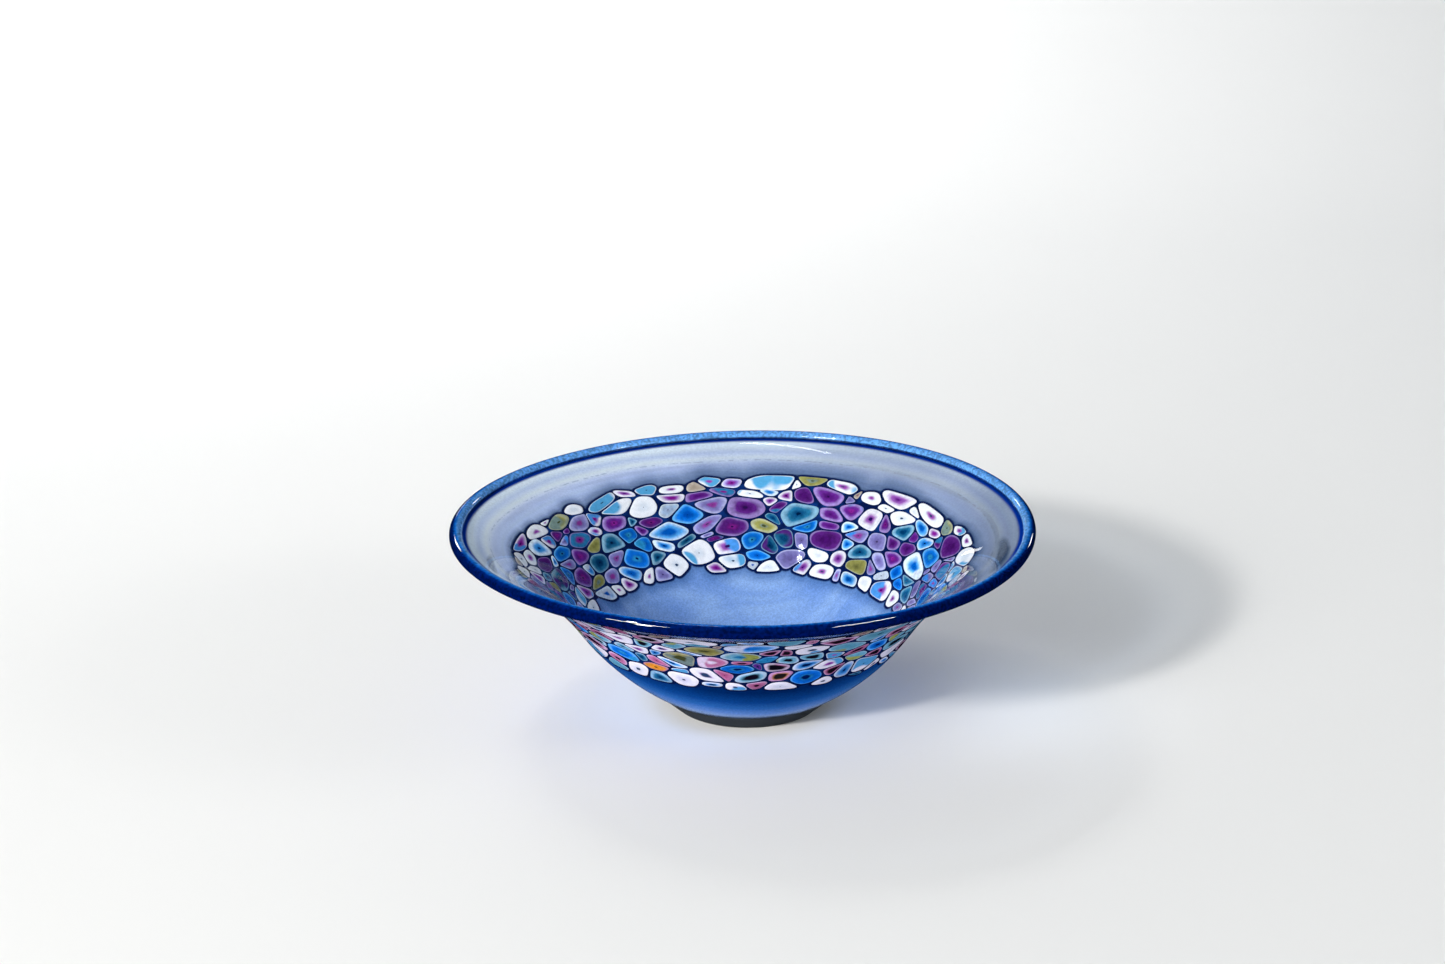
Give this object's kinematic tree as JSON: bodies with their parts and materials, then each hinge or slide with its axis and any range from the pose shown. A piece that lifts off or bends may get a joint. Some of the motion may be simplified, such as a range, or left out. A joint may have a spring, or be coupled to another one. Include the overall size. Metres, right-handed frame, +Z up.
{
  "type": "art glass bowl",
  "caption": "Flared, footed art glass bowl with a cobalt lip wrap, a band of coloured murrine fused between two casings of glass, and a dark ground foot.",
  "frame": {"origin": "centre of the face that the foot rests on", "axes": "+Z up along the bowl's axis, out of the mouth; -Y towards the side with the warm pink and turquoise murrine"},
  "size_m": [0.26, 0.26, 0.0869],
  "materials": {
    "outer_casing": "clear, fire-polished",
    "inner_casing": "pale blue opal, polished",
    "flare_colour": "pale blue-grey powder colour, soft bands",
    "base_colour": "cobalt powder colour, paler towards the foot",
    "cobalt_ground": "near-black navy",
    "lip_wrap": "transparent cobalt, fire-polished",
    "foot_pad": "charcoal, ground and satin",
    "murrine_white": "opaque white murrine with a cobalt jacket",
    "murrine_cream": "opal cream and tan murrine",
    "murrine_olive": "olive yellow murrine",
    "murrine_magenta": "white murrine with a magenta heart",
    "murrine_plum": "dark plum murrine",
    "murrine_lilac": "opal lilac murrine",
    "murrine_sky": "opal sky blue murrine",
    "murrine_cobalt": "cobalt blue murrine",
    "murrine_teal": "teal murrine",
    "murrine_rose": "rose pink murrine with a dark heart",
    "murrine_turquoise": "turquoise murrine with a dark heart",
    "murrine_orange": "orange murrine with a dark heart"
  },
  "bodies": {
    "root": {"outer_casing": "outer_casing", "inner_casing": "inner_casing", "flare_colour": "flare_colour", "base_colour": "base_colour", "cobalt_ground": "cobalt_ground", "lip_wrap": "lip_wrap", "foot_pad": "foot_pad", "murrine_white": "murrine_white", "murrine_cream": "murrine_cream", "murrine_olive": "murrine_olive", "murrine_magenta": "murrine_magenta", "murrine_plum": "murrine_plum", "murrine_lilac": "murrine_lilac", "murrine_sky": "murrine_sky", "murrine_cobalt": "murrine_cobalt", "murrine_teal": "murrine_teal", "murrine_rose": "murrine_rose", "murrine_turquoise": "murrine_turquoise", "murrine_orange": "murrine_orange"}
  },
  "joints": []
}
